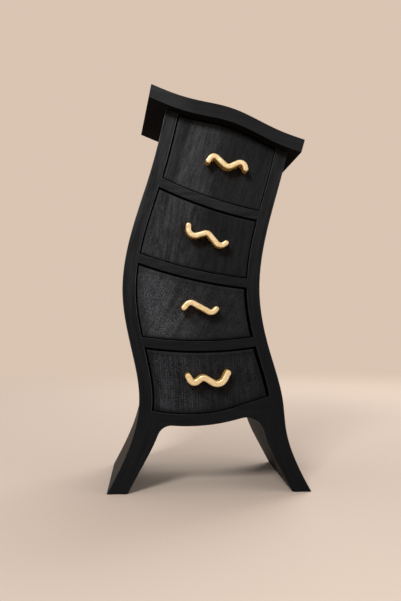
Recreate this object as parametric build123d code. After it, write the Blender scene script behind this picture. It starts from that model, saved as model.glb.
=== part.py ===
from build123d import *
import math
import os

# A small chest of four drawers with a swaying case on two splayed legs, a wavy top and squiggle pulls.
# Sizes are in millimetres. X runs to the right, Y to the back and Z up. The origin is on the floor,
# midway between the outer corners of the feet and midway between the front of the top and the back.

# Case
CASE_DEPTH = 80.0
TOP_OVERHANG = 8.6
LEFT_STILE_WIDTH = 6.45
RIGHT_STILE_WIDTH = 6.25
LEFT_LEG_WIDTH = 10.5
RIGHT_LEG_WIDTH = 9.4
LEFT_LEG_SWELL = 2.5
RIGHT_LEG_SWELL = 2.4
LEFT_ROOT_RADIUS = 7.0
RIGHT_ROOT_RADIUS = 9.0
BACK_THICKNESS = 5.0
BACK_RECESS = 0.5
EDGE_BREAK = 0.25
HOUSING_DEPTH = 2.0
HOUSING_SETBACK = 5.0

# The swaying outline of the case from the floor up: height, left edge, right edge
SWAY = [
    (0.0, -50.8, 50.8),
    (12.0, -44.6, 44.5),
    (30.0, -37.4, 38.3),
    (45.0, -34.9, 36.6),
    (70.0, -38.5, 30.0),
    (99.0, -43.2, 24.9),
    (128.0, -39.1, 28.25),
    (160.0, -29.2, 36.75),
    (192.0, -21.3, 44.0),
    (230.0, -12.0, 52.0),
]

# Heights from the floor up, all measured on the middle line
ARCH_HEIGHT = 33.5
BOTTOM_THICKNESS = 5.8
BAY_4_HEIGHT = 30.8
BAY_3_HEIGHT = 29.25
BAY_2_HEIGHT = 32.9
BAY_1_HEIGHT = 38.0
BAY_HEIGHTS = {1: BAY_1_HEIGHT, 2: BAY_2_HEIGHT, 3: BAY_3_HEIGHT, 4: BAY_4_HEIGHT}

# Each divider is a sagging board under the bay of its number. Its upper face is an arc of the given
# radius, and the tilt is how steeply it rises to the right on the middle line, in degrees.
DIVIDER_1_THICKNESS = 4.7
DIVIDER_1_RADIUS = 210.0
DIVIDER_1_TILT = -18.3
DIVIDER_2_THICKNESS = 4.55
DIVIDER_2_RADIUS = 232.0
DIVIDER_2_TILT = -10.8
DIVIDER_3_THICKNESS = 4.9
DIVIDER_3_RADIUS = 180.0
DIVIDER_3_TILT = 1.7
DIVIDERS = {
    1: (DIVIDER_1_THICKNESS, DIVIDER_1_RADIUS, DIVIDER_1_TILT),
    2: (DIVIDER_2_THICKNESS, DIVIDER_2_RADIUS, DIVIDER_2_TILT),
    3: (DIVIDER_3_THICKNESS, DIVIDER_3_RADIUS, DIVIDER_3_TILT),
}

# The waves of the bottom board's upper face and of its underside, which is the arch between the legs:
# distance from the middle line and rise above the face's height there
SEAT_WAVE = [
    (-50.0, 6.6),
    (-36.0, 3.1),
    (-22.0, 0.2),
    (-9.0, -0.5),
    (4.0, 0.6),
    (16.5, 4.1),
    (32.0, 8.9),
    (50.0, 14.0),
]
ARCH_WAVE = [
    (-50.0, 6.6),
    (-36.0, 3.1),
    (-22.0, 0.2),
    (-9.0, -0.5),
    (4.0, 0.6),
    (16.5, 3.4),
    (32.0, 8.2),
    (50.0, 13.3),
]

# Top board
TOP_THICKNESS = 7.1
TOP_LEFT_REACH = 30.4
TOP_RIGHT_REACH = 44.4
TOP_LEFT_LEAN = 1.4
TOP_RIGHT_LEAN = 2.0
TOP_LEFT_SPLAY = 5.2
TOP_WAVE = [
    (-46.0, 15.2),
    (-29.0, 8.6),
    (-17.0, 4.0),
    (-5.0, 0.9),
    (5.0, -1.0),
    (14.0, -3.8),
    (24.0, -8.5),
    (34.0, -13.2),
    (45.0, -17.1),
    (58.0, -21.5),
]
PIN_RADIUS = 1.0
PIN_IN_SIDE = 5.0
PIN_IN_TOP = 3.5
PIN_CLEARANCE = 0.05
PIN_END_ROOM = 0.4
PIN_SETBACK = 16.0

# Drawers, with the gaps left and right of each front
DRAWER_1_GAPS = (0.85, 0.4)
DRAWER_2_GAPS = (0.8, 0.65)
DRAWER_3_GAPS = (0.8, 1.5)
DRAWER_4_GAPS = (1.0, 1.8)
SIDE_GAPS = {1: DRAWER_1_GAPS, 2: DRAWER_2_GAPS, 3: DRAWER_3_GAPS, 4: DRAWER_4_GAPS}
FLOOR_GAP = 0.5
HEAD_GAP = 0.9
FRONT_SETBACK = 0.2
FRONT_THICKNESS = 6.0
WALL_THICKNESS = 3.0
FLOOR_THICKNESS = 2.5
WALL_DROP = 3.0
STOP_GAP = 0.5
BORDER_WIDTH = 1.0
BORDER_DEPTH = 0.35
LINER_THICKNESS = 0.8
LINER_SEAT = 0.1
LINER_CLEARANCE = 0.3

# Pulls
PULL_DEPTH = 7.5
PULL_ROUNDING = 0.7
PEG_RADIUS = 0.8
PEG_LENGTH = 4.0
PEG_CLEARANCE = 0.05
PEG_END_ROOM = 0.1
PEG_SHARES = (0.15, 0.85)

# Each pull's width, the corners of its line from the middle of its bay, and the radii of their bends
PULL_1_WIDTH = 2.6
PULL_1_CORNERS = [(-6.0, -0.4), (-3.6, 3.0), (3.5, -3.7), (11.3, 0.0), (12.4, -4.3)]
PULL_1_BENDS = [2.2, 2.7, 2.6]
PULL_2_WIDTH = 2.6
PULL_2_CORNERS = [(-5.1, 5.0), (-5.1, -1.2), (4.2, 1.6), (10.3, -5.7), (13.3, -3.6)]
PULL_2_BENDS = [3.3, 2.4, 2.8]
PULL_3_WIDTH = 2.7
PULL_3_CORNERS = [(-3.2, 0.2), (-0.5, 3.5), (10.5, -2.6), (12.6, -0.4)]
PULL_3_BENDS = [2.7, 2.5]
PULL_4_WIDTH = 3.0
PULL_4_CORNERS = [(-8.7, 2.4), (-6.5, -2.0), (-1.4, 2.1), (7.2, -3.1), (10.7, 4.0)]
PULL_4_BENDS = [2.4, 2.7, 4.1]
PULLS = {
    1: (PULL_1_WIDTH, PULL_1_CORNERS, PULL_1_BENDS),
    2: (PULL_2_WIDTH, PULL_2_CORNERS, PULL_2_BENDS),
    3: (PULL_3_WIDTH, PULL_3_CORNERS, PULL_3_BENDS),
    4: (PULL_4_WIDTH, PULL_4_CORNERS, PULL_4_BENDS),
}

# Depths that follow from the sizes above
TOP_DEPTH = CASE_DEPTH + TOP_OVERHANG
TOP_FRONT = -TOP_DEPTH / 2
CASE_BACK = TOP_DEPTH / 2
CASE_FRONT = CASE_BACK - CASE_DEPTH
PANEL_BACK = CASE_BACK - BACK_RECESS
PANEL_FRONT = PANEL_BACK - BACK_THICKNESS
DRAWER_FRONT = CASE_FRONT + FRONT_SETBACK
BOX_FRONT = DRAWER_FRONT + FRONT_THICKNESS
DRAWER_BACK = PANEL_FRONT - STOP_GAP

# Heights on the middle line that follow from the stack of boards and bays
SEAT_HEIGHT = ARCH_HEIGHT + BOTTOM_THICKNESS
BAY_FLOORS = {4: SEAT_HEIGHT}
for number in (3, 2, 1):
    BAY_FLOORS[number] = BAY_FLOORS[number + 1] + BAY_HEIGHTS[number + 1] + DIVIDERS[number][0]
UNDERSIDE = BAY_FLOORS[1] + BAY_HEIGHTS[1]
FAR = 400.0


def prism(face, front, back):
    """A face drawn across the case, run from one depth to another."""
    return Pos(0, front, 0) * extrude(Plane.XZ * face, amount=front - back)


def band(left_inset, right_inset, left_swell=0.0, right_swell=0.0):
    """The face between the two swaying edges, each moved in level towards the middle.

    The swells move the edges in further towards the arch, and stay at their full amounts above it.
    """
    left = []
    right = []
    for height, left_edge, right_edge in SWAY:
        share = min(height / ARCH_HEIGHT, 1.0) ** 3
        left.append((left_edge + left_inset + left_swell * share, height))
        right.append((right_edge - right_inset - right_swell * share, height))
    ends = Line(left[-1], right[-1]) + Line(right[0], left[0])
    return make_face(Spline(*left) + ends + Spline(*right))


def beside_wave(wave, height, limit):
    """The face between a wave at a height and a level limit above or below it."""
    points = [(across, height + rise) for across, rise in wave]
    left_far = (-FAR, points[0][1])
    right_far = (FAR, points[-1][1])
    rest = Polyline(points[-1], right_far, (FAR, limit), (-FAR, limit), left_far, points[0])
    return make_face(Spline(*points) + rest)


def over_wave(wave, height):
    """The face above a wave whose height on the middle line is given."""
    return beside_wave(wave, height, FAR)


def under_wave(wave, height):
    """The face below a wave whose height on the middle line is given."""
    return beside_wave(wave, height, -FAR)


def sag_disc(number, drop):
    """The disc above a divider's upper face, grown down into the divider by a drop."""
    _, radius, tilt = DIVIDERS[number]
    slope = math.radians(tilt)
    centre = (-radius * math.sin(slope), BAY_FLOORS[number] + radius * math.cos(slope))
    return Pos(*centre) * Circle(radius + drop)


def over_floor(number, gap):
    """The face above the board that carries a drawer, raised by a gap."""
    if number in DIVIDERS:
        return sag_disc(number, -gap)
    return over_wave(SEAT_WAVE, SEAT_HEIGHT + gap)


def under_head(number, gap):
    """The face below what covers a drawer, lowered by a gap."""
    if number == 1:
        return under_wave(TOP_WAVE, UNDERSIDE - gap)
    cover = number - 1
    return Rectangle(FAR, 2 * FAR) - sag_disc(cover, DIVIDERS[cover][0] + gap)


def bay(number, left_gap, right_gap, floor_gap, head_gap):
    """The face of a drawer's opening, made smaller by a gap on each side."""
    across = band(LEFT_STILE_WIDTH + left_gap, RIGHT_STILE_WIDTH + right_gap)
    return across & over_floor(number, floor_gap) & under_head(number, head_gap)


def inner_zone():
    """The face between the side panels, above the arch and below the top."""
    across = band(LEFT_STILE_WIDTH, RIGHT_STILE_WIDTH)
    return across & over_wave(ARCH_WAVE, ARCH_HEIGHT) & under_wave(TOP_WAVE, UNDERSIDE)


def arch():
    """The face of the arch between the legs, with rounded roots."""
    between = band(LEFT_LEG_WIDTH, RIGHT_LEG_WIDTH, LEFT_LEG_SWELL, RIGHT_LEG_SWELL)
    opening = between & under_wave(ARCH_WAVE, ARCH_HEIGHT)
    left_root = opening.vertices().sort_by(Axis.Y)[-2:].sort_by(Axis.X)[0]
    opening = fillet(left_root, LEFT_ROOT_RADIUS)
    right_root = opening.vertices().sort_by(Axis.Y)[-1]
    return fillet(right_root, RIGHT_ROOT_RADIUS)


def front_edges(solid):
    """The edges round the foremost flat face of a solid."""
    return solid.faces().filter_by(Axis.Y).sort_by(Axis.Y)[0].edges()


def case_block():
    """The case as one block with its arch and bays cut through and its front edges broken."""
    face = band(0, 0) & under_wave(TOP_WAVE, UNDERSIDE)
    face -= arch()
    for number in BAY_HEIGHTS:
        face -= bay(number, 0, 0, 0, 0)
    block = prism(face, CASE_FRONT, CASE_BACK)
    rear = block.faces().filter_by(Axis.Y).sort_by(Axis.Y)[-1]
    return chamfer(front_edges(block) + rear.outer_wire().edges(), EDGE_BREAK)


def housing(number):
    """A divider's shape behind its front, with both ends let into the side panels."""
    across = band(LEFT_STILE_WIDTH - HOUSING_DEPTH, RIGHT_STILE_WIDTH - HOUSING_DEPTH)
    face = across & (sag_disc(number, DIVIDERS[number][0]) - sag_disc(number, 0))
    return prism(face, CASE_FRONT + HOUSING_SETBACK, PANEL_FRONT)


def case_boards():
    """The side panels, the dividers and the bottom board, all parted from the one block."""
    block = case_block()
    zone = inner_zone()
    sides = block - prism(zone, CASE_FRONT, CASE_BACK)
    boards = (block & prism(zone, CASE_FRONT, CASE_BACK)).solids().sort_by(Axis.Z)
    nodes = {"bottom_board": boards[0]}
    for number, board in zip((3, 2, 1), boards[1:]):
        tenoned = housing(number)
        nodes[f"divider_{number}"] = (board & prism(zone, CASE_FRONT, PANEL_FRONT)) + tenoned
        sides -= tenoned
    nodes["left_side"], nodes["right_side"] = sides.solids().sort_by(Axis.X)
    return nodes


def back_panel():
    """The panel between the sides that closes the back and stops the drawers."""
    face = inner_zone() & over_wave(SEAT_WAVE, SEAT_HEIGHT)
    return prism(face, PANEL_FRONT, PANEL_BACK)


def top_height(across):
    """The height of the top board's underside at a distance from the middle line."""
    wave = Spline(*[(point, UNDERSIDE + rise) for point, rise in TOP_WAVE])
    plumb = Line((across, 0), (across, FAR))
    return wave.intersect(plumb).vertices()[0].Y


def top_board():
    """The wavy top, which overhangs the front and both sides and is splayed at its left end."""
    face = over_wave(TOP_WAVE, UNDERSIDE) & under_wave(TOP_WAVE, UNDERSIDE + TOP_THICKNESS)
    board = prism(face, TOP_FRONT, CASE_BACK)
    left_foot = (-TOP_LEFT_REACH, TOP_FRONT, top_height(-TOP_LEFT_REACH))
    right_foot = (TOP_RIGHT_REACH, TOP_FRONT, top_height(TOP_RIGHT_REACH))
    left_end = Plane(left_foot, z_dir=(1, TOP_LEFT_SPLAY / TOP_DEPTH, -TOP_LEFT_LEAN / TOP_THICKNESS))
    right_end = Plane(right_foot, z_dir=(-1, 0, TOP_RIGHT_LEAN / TOP_THICKNESS))
    board = split(board, bisect_by=left_end, keep=Keep.TOP)
    board = split(board, bisect_by=right_end, keep=Keep.TOP)
    return chamfer(board.edges(), EDGE_BREAK)


def pin_places(side):
    """Where the pins between a side panel and the top stand, on the panel's upper face."""
    seat = side.faces().sort_by(Axis.Z)[-1].center()
    depths = (CASE_FRONT + PIN_SETBACK, CASE_BACK - PIN_SETBACK)
    return [Vector(seat.X, depth, seat.Z) for depth in depths]


def upright(place, radius, below, above):
    """An upright round bar through a place, from a length below it to a length above it."""
    return Pos(place.X, place.Y, place.Z + (above - below) / 2) * Cylinder(radius, below + above)


def pull_line(number):
    """The middle line of a pull's squiggle, set from the middle of its bay."""
    middle = bay(number, 0, 0, 0, 0).center()
    _, corners, bends = PULLS[number]
    points = [(middle.X + across, middle.Y + rise) for across, rise in corners]
    return FilletPolyline(*points, radius=bends)


def peg_bars(number, radius, front, back):
    """The two round bars behind a pull, each from one depth to another."""
    line = pull_line(number)
    return [prism(Pos(*(line @ share)) * Circle(radius), front, back) for share in PEG_SHARES]


def pull(number):
    """A squiggle pull: a thick stroke with rounded ends and two pegs behind it."""
    width = PULLS[number][0]
    line = Wire(pull_line(number).edges())
    stroke = line.offset_2d(width / 2, kind=Kind.ARC, closed=True)
    body = prism(make_face(stroke), DRAWER_FRONT - PULL_DEPTH, DRAWER_FRONT)
    body = fillet(front_edges(body), PULL_ROUNDING)
    for peg in peg_bars(number, PEG_RADIUS, DRAWER_FRONT, DRAWER_FRONT + PEG_LENGTH):
        body += peg
    return body


def bordered(face):
    """A board as thick as a drawer's front, with the low border along the curved edges of its face."""
    board = prism(face, DRAWER_FRONT, BOX_FRONT)
    front = board.faces().filter_by(Axis.Y).sort_by(Axis.Y)[0]
    curved = front.edges().filter_by(GeomType.LINE, reverse=True)
    return chamfer(curved, BORDER_WIDTH, BORDER_DEPTH, reference=front)


def drawer_front(number):
    """The flush front of a drawer, with a low border and two blind holes for the pull's pegs.

    The border is cut on the sides, the floor and the head one at a time, so it mitres at the corners.
    """
    left_gap, right_gap = SIDE_GAPS[number]
    board = bordered(band(LEFT_STILE_WIDTH + left_gap, RIGHT_STILE_WIDTH + right_gap))
    board &= bordered(over_floor(number, FLOOR_GAP))
    board &= bordered(under_head(number, HEAD_GAP))
    hole_end = DRAWER_FRONT + PEG_LENGTH + PEG_END_ROOM
    for hole in peg_bars(number, PEG_RADIUS + PEG_CLEARANCE, DRAWER_FRONT, hole_end):
        board -= hole
    return board


def drawer_box(number):
    """The walls, floor, back and lining behind a drawer's front."""
    left_gap, right_gap = SIDE_GAPS[number]
    left_in, right_in = left_gap + WALL_THICKNESS, right_gap + WALL_THICKNESS
    head = HEAD_GAP + WALL_DROP
    inside = bay(number, left_in, right_in, FLOOR_GAP, head)
    walls = bay(number, left_gap, right_gap, FLOOR_GAP, head) - inside
    left_wall, right_wall = walls.faces().sort_by(Axis.X)
    floor_top = FLOOR_GAP + FLOOR_THICKNESS
    lining_foot = floor_top + LINER_SEAT
    lining = bay(number, left_in + LINER_CLEARANCE, right_in + LINER_CLEARANCE, lining_foot, head)
    lining -= over_floor(number, lining_foot + LINER_THICKNESS)
    back_front = DRAWER_BACK - WALL_THICKNESS
    return {
        "left_wall": prism(left_wall, BOX_FRONT, DRAWER_BACK),
        "right_wall": prism(right_wall, BOX_FRONT, DRAWER_BACK),
        "floor": prism(inside - over_floor(number, floor_top), BOX_FRONT, DRAWER_BACK),
        "back": prism(bay(number, left_in, right_in, floor_top, head), back_front, DRAWER_BACK),
        "lining": prism(lining, BOX_FRONT + LINER_CLEARANCE, back_front - LINER_CLEARANCE),
    }


def all_nodes():
    """Every sub-part of the chest by its node's name."""
    nodes = case_boards()
    nodes["back_panel"] = back_panel()
    nodes["top_board"] = top_board()
    pins = []
    hole_radius = PIN_RADIUS + PIN_CLEARANCE
    for side in ("left_side", "right_side"):
        for place in pin_places(nodes[side]):
            pins.append(upright(place, PIN_RADIUS, PIN_IN_SIDE, PIN_IN_TOP))
            hole = upright(place, hole_radius, PIN_IN_SIDE + PIN_END_ROOM, PIN_IN_TOP + PIN_END_ROOM)
            nodes[side] -= hole
            nodes["top_board"] -= hole
    nodes["top_pins"] = Compound(children=pins)
    for number in sorted(BAY_HEIGHTS):
        nodes[f"drawer_{number}_front"] = drawer_front(number)
        nodes[f"drawer_{number}_pull"] = pull(number)
        for name, shape in drawer_box(number).items():
            nodes[f"drawer_{number}_{name}"] = shape
    return nodes


os.makedirs("parts", exist_ok=True)
for node, shape in all_nodes().items():
    export_step(shape, f"parts/{node}.step")
    print(node, len(shape.solids()), round(shape.volume, 1))
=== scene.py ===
"""Dresses the swaying jewellery chest: black painted case and drawers, cast gold pulls, felt linings."""

from __future__ import annotations

import logging
import math
from dataclasses import dataclass, field
from enum import Enum
from functools import partial
from itertools import zip_longest
from typing import Any, Callable, Sequence

import bmesh
import bpy
from mathutils import Matrix, Vector

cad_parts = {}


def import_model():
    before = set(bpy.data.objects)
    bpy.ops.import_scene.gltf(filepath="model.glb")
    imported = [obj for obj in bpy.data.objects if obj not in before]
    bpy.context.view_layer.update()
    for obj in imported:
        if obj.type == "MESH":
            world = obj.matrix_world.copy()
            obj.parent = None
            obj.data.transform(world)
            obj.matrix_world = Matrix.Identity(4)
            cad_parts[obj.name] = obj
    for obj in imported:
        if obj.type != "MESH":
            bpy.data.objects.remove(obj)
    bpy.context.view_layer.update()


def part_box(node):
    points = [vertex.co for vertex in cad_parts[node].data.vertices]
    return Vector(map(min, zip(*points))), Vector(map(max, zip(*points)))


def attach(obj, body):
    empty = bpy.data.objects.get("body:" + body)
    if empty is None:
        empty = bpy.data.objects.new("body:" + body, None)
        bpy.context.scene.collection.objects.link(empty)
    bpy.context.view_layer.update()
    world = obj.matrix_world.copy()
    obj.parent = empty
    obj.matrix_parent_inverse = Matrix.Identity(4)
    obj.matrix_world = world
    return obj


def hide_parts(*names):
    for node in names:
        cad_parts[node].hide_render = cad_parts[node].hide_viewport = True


log = logging.getLogger("jewellery_chest")

MM = 0.001
# Places in a mesh that are no further apart than this count as one.
CLOSE = 0.01 * MM
# A normal with more than this along an axis counts as facing that way.
FACING = 0.5
FLOAT = "NodeSocketFloat"
VECTOR = "NodeSocketVector"

Colour = tuple[float, float, float]
Place = tuple[float, float, float]
Point = tuple[float, float]
Socket = bpy.types.NodeSocket


def opaque(colour: Colour) -> tuple[float, float, float, float]:
    """The colour with full alpha, as colour sockets take it."""
    return (*colour, 1.0)


class Grain(Enum):
    """The direction in which brush marks or wood fibres run on a piece."""

    ALONG_X = "x"
    ALONG_Y = "y"
    ALONG_Z = "z"


class WearAndHighlight(Enum):
    """Which edges of a painted piece are paler: scuffed, and given a painted highlight."""

    EVERY_EDGE = "every edge"
    CUT_EDGES = "only the edges that are broken by a small flat"


class Graph:
    """A node tree with short calls that add nodes and join them."""

    def __init__(self, tree: bpy.types.NodeTree) -> None:
        """Takes over the empty node tree of a material, a world or a group."""
        self.tree = tree

    def feed(self, node: bpy.types.Node, inputs: dict[Any, Any]) -> None:
        """Fills a node's inputs.

        Args:
            node: the node.
            inputs: socket name or number to a plain value, which is set on the socket itself, or to the
                output socket to join to it.
        """
        for name, value in inputs.items():
            if isinstance(value, Socket):
                self.tree.links.new(value, node.inputs[name])
            else:
                node.inputs[name].default_value = value

    def add(self, kind: str, inputs: dict[Any, Any] | None = None, **settings: Any) -> bpy.types.Node:
        """Adds a node.

        Args:
            kind: the node's type name.
            inputs: what the node's inputs get, as in feed.
            settings: the node's own properties.

        Returns:
            The new node.
        """
        node = self.tree.nodes.new(kind)
        for name, value in settings.items():
            setattr(node, name, value)
        self.feed(node, inputs or {})
        return node

    def math(self, operation: str, *values: float | Socket) -> Socket:
        """The result of one Math node, from up to three numbers or sockets."""
        return self.add("ShaderNodeMath", dict(enumerate(values)), operation=operation).outputs[0]

    def product(self, first: Socket, *others: float | Socket) -> Socket:
        """The product of a mask and more masks or numbers."""
        for other in others:
            first = self.math("MULTIPLY", first, other)
        return first

    def parts(self, vector: Socket) -> Any:
        """The three numbers of a place or a direction, as sockets."""
        return self.add("ShaderNodeSeparateXYZ", {0: vector}).outputs

    def spread(self, value: Socket, low: float, high: float, to: Point = (0.0, 1.0)) -> Socket:
        """The mask with its range from low to high mapped to another range, and held at both ends."""
        inputs = {"Value": value, "From Min": low, "From Max": high, "To Min": to[0], "To Max": to[1]}
        return self.add("ShaderNodeMapRange", inputs).outputs["Result"]

    def blend(self, mask: Socket, low: Colour | Socket, high: Colour | Socket) -> Socket:
        """Mixes two colours by a mask.

        Args:
            mask: 0 gives the first colour and 1 the second.
            low: the first colour, or its socket.
            high: the second colour, or its socket.

        Returns:
            The mixed colour's socket.
        """
        ends = [end if isinstance(end, Socket) else opaque(end) for end in (low, high)]
        node = self.add("ShaderNodeMix", {0: mask, 6: ends[0], 7: ends[1]}, data_type="RGBA")
        return node.outputs[2]

    def noise(
        self, vector: Socket, scale: float | Socket, detail: float = 2.0, roughness: float = 0.5
    ) -> Socket:
        """A noise mask from 0 to 1, with its scale in features to the metre and detail in finer layers."""
        inputs = {"Vector": vector, "Scale": scale, "Detail": detail, "Roughness": roughness}
        return self.add("ShaderNodeTexNoise", inputs).outputs["Fac"]

    def bump(
        self, height: Socket, distance: float, strength: float = 1.0, normal: Socket | None = None
    ) -> Socket:
        """A Bump node.

        Args:
            height: the height mask.
            distance: how high a mask of 1 stands, in metres.
            strength: how much of the effect is used.
            normal: the normal that it starts from, or None for the surface's own.

        Returns:
            The changed normal's socket.
        """
        inputs: dict[str, Any] = {"Height": height, "Distance": distance, "Strength": strength}
        if normal is not None:
            inputs["Normal"] = normal
        return self.add("ShaderNodeBump", inputs).outputs["Normal"]

    def object_place(self) -> Socket:
        """Object coordinates, which are metres in the chest's own frame."""
        return self.add("ShaderNodeTexCoord").outputs["Object"]

    def facing(self) -> Any:
        """The direction in which the surface itself faces, as three number sockets."""
        return self.parts(self.add("ShaderNodeNewGeometry").outputs["True Normal"])


class Effect:
    """A shader node group, built once and placed in as many materials as use it."""

    def __init__(
        self,
        name: str,
        inputs: dict[str, tuple[str, float | None]],
        outputs: dict[str, str],
        fill: Callable[[Graph, Any], dict[str, Socket]],
    ) -> None:
        """Makes the group.

        Args:
            name: the group's name.
            inputs: socket name to its type and its value when nothing is joined, or None.
            outputs: socket name to its type.
            fill: adds the nodes, from the graph and the group's input sockets, and gives the outputs.
        """
        self.tree = bpy.data.node_groups.new(name, "ShaderNodeTree")
        for label, (kind, value) in inputs.items():
            socket = self.tree.interface.new_socket(label, in_out="INPUT", socket_type=kind)
            if value is not None:
                socket.default_value = value
        for label, kind in outputs.items():
            self.tree.interface.new_socket(label, in_out="OUTPUT", socket_type=kind)
        graph = Graph(self.tree)
        entry = graph.add("NodeGroupInput")
        graph.add("NodeGroupOutput", fill(graph, entry.outputs))

    def place(self, graph: Graph, inputs: dict[str, Any] | None = None) -> Any:
        """Adds the group to a material's graph, with these inputs, and gives its outputs."""
        return graph.add("ShaderNodeGroup", inputs, node_tree=self.tree).outputs


class Effects:
    """The effects that several finishes share."""

    def __init__(self) -> None:
        """Builds each effect once."""
        self.streaks = Effect(
            "brush_streaks",
            {"Vector": (VECTOR, None), "Fineness": (FLOAT, 700.0), "Length": (FLOAT, 14.0)},
            {"Broad": FLOAT, "Fine": FLOAT},
            self._fill_streaks,
        )
        self.speckle = Effect(
            "paint_speckle",
            {"Vector": (VECTOR, None), "Fineness": (FLOAT, 1300.0), "Length": (FLOAT, 1.0)},
            {"Mask": FLOAT},
            self._fill_speckle,
        )
        self.weave = Effect(
            "canvas_weave",
            {"Vector": (VECTOR, None), "Threads": (FLOAT, 260.0)},
            {"Mask": FLOAT},
            self._fill_weave,
        )
        self.edges = Effect(
            "rounded_edges",
            {"Radius": (FLOAT, 0.4 * MM)},
            {"Mask": FLOAT, "Normal": VECTOR},
            self._fill_edges,
        )
        self.cuts = Effect(
            "flats_by_slope",
            {},
            {"Cut": FLOAT, "Rim": FLOAT, "Side": FLOAT},
            self._fill_cuts,
        )
        # The mask near edges, for painted shade towards a board's edges and the painted shadow line round a
        # front.
        self.margin = Effect(
            "near_an_edge",
            {"Reach": (FLOAT, 4.0 * MM)},
            {"Mask": FLOAT},
            self._fill_edge_shade,
        )
        self.fibres = Effect(
            "wood_fibres",
            {"Vector": (VECTOR, None), "Rings": (FLOAT, 90.0)},
            {"Figure": FLOAT, "Pores": FLOAT},
            self._fill_fibres,
        )

    @staticmethod
    def _stretched(graph: Graph, vector: Socket, length: float | Socket) -> Socket:
        """The place with its third axis shortened, so that a pattern runs long that way.

        Args:
            graph: the group's graph.
            vector: the place.
            length: how many times longer than wide the pattern is.

        Returns:
            The changed place's socket.
        """
        parts = graph.parts(vector)
        run = graph.math("DIVIDE", parts[2], length)
        return graph.add("ShaderNodeCombineXYZ", {0: parts[0], 1: parts[1], 2: run}).outputs[0]

    def _fill_streaks(self, graph: Graph, entry: Any) -> dict[str, Socket]:
        """Broad soft strokes and fine hair lines along the third axis.

        Args:
            graph: the group's graph.
            entry: the group's inputs.

        Returns:
            The group's outputs.
        """
        place = self._stretched(graph, entry["Vector"], entry["Length"])
        masks = {}
        for name, times_finer, detail, high in (("Broad", 0.6, 3.0, 0.72), ("Fine", 2.0, 2.0, 0.7)):
            scale = graph.math("MULTIPLY", entry["Fineness"], times_finer)
            masks[name] = graph.spread(graph.noise(place, scale, detail), 0.3, high)
        return masks

    def _fill_speckle(self, graph: Graph, entry: Any) -> dict[str, Socket]:
        """Small raised grains of dry paint that gather in patches, drawn out along the third axis.

        Args:
            graph: the group's graph.
            entry: the group's inputs.

        Returns:
            The group's outputs.
        """
        place = self._stretched(graph, entry["Vector"], entry["Length"])
        cells = graph.add("ShaderNodeTexVoronoi", {"Vector": place, "Scale": entry["Fineness"]})
        dots = graph.spread(cells.outputs["Distance"], low=0.6, high=0.15)
        clumps = graph.noise(entry["Vector"], scale=260.0, detail=4.0, roughness=0.6)
        return {"Mask": graph.product(dots, graph.spread(clumps, 0.35, 0.65, to=(0.25, 1.0)))}

    def _fill_weave(self, graph: Graph, entry: Any) -> dict[str, Socket]:
        """Upright and level threads that fade in and out, as on canvas under paint.

        Args:
            graph: the group's graph.
            entry: the group's inputs.

        Returns:
            The group's outputs.
        """
        threads = []
        for direction, strength in (("X", 0.65), ("Z", 0.35)):
            inputs = {
                "Vector": entry["Vector"],
                "Scale": entry["Threads"],
                "Distortion": 2.6,
                "Detail": 2.0,
                "Detail Scale": 0.4,
            }
            wave = graph.add("ShaderNodeTexWave", inputs, wave_type="BANDS", bands_direction=direction)
            threads.append(graph.product(wave.outputs["Fac"], strength))
        clumps = graph.noise(entry["Vector"], scale=180.0, detail=3.0)
        patches = graph.spread(clumps, 0.35, 0.65, to=(0.35, 1.0))
        return {"Mask": graph.product(graph.math("ADD", *threads), patches)}

    def _fill_edges(self, graph: Graph, entry: Any) -> dict[str, Socket]:
        """A normal that turns softly over an edge, and a mask of where it does.

        Args:
            graph: the group's graph.
            entry: the group's inputs.

        Returns:
            The group's outputs.
        """
        soft = graph.add("ShaderNodeBevel", {"Radius": entry["Radius"]}, samples=6).outputs["Normal"]
        own = graph.add("ShaderNodeNewGeometry").outputs["Normal"]
        likeness = graph.add("ShaderNodeVectorMath", {0: soft, 1: own}, operation="DOT_PRODUCT")
        return {"Mask": graph.spread(likeness.outputs["Value"], low=0.997, high=0.93), "Normal": soft}

    def _fill_cuts(self, graph: Graph, entry: Any) -> dict[str, Socket]:
        """Masks of the steep small flats round the openings, of the fronts' low border and of side faces.

        Args:
            graph: the group's graph.
            entry: the group's inputs, of which there are none; not used.

        Returns:
            The group's outputs.
        """
        frontal = graph.math("ABSOLUTE", graph.facing()[1])
        steep = graph.product(graph.spread(frontal, 0.25, 0.45), graph.spread(frontal, 0.9, 0.8))
        low = graph.product(graph.spread(frontal, 0.88, 0.92), graph.spread(frontal, 0.985, 0.965))
        return {"Cut": steep, "Rim": low, "Side": graph.spread(frontal, 0.3, 0.15)}

    def _fill_edge_shade(self, graph: Graph, entry: Any) -> dict[str, Socket]:
        """A mask that fades in from the open face of a board towards its edges.

        Args:
            graph: the group's graph.
            entry: the group's inputs.

        Returns:
            The group's outputs.
        """
        inputs = {"Distance": entry["Reach"]}
        inside = graph.add("ShaderNodeAmbientOcclusion", inputs, samples=8, inside=True, only_local=True)
        return {"Mask": graph.spread(inside.outputs["AO"], low=0.97, high=0.6)}

    def _fill_fibres(self, graph: Graph, entry: Any) -> dict[str, Socket]:
        """The figure and pores of sawn wood whose fibres run along the third axis.

        Args:
            graph: the group's graph.
            entry: the group's inputs.

        Returns:
            The group's outputs.
        """
        inputs = {
            "Vector": self._stretched(graph, entry["Vector"], length=9.0),
            "Scale": entry["Rings"],
            "Distortion": 5.0,
            "Detail": 3.0,
            "Detail Scale": 1.2,
            "Detail Roughness": 0.6,
        }
        rings = graph.add("ShaderNodeTexWave", inputs, wave_type="BANDS", bands_direction="X")
        long_place = self._stretched(graph, entry["Vector"], length=22.0)
        pores = graph.spread(graph.noise(long_place, scale=2600.0), 0.56, 0.72)
        return {"Figure": rings.outputs["Fac"], "Pores": pores}


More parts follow.
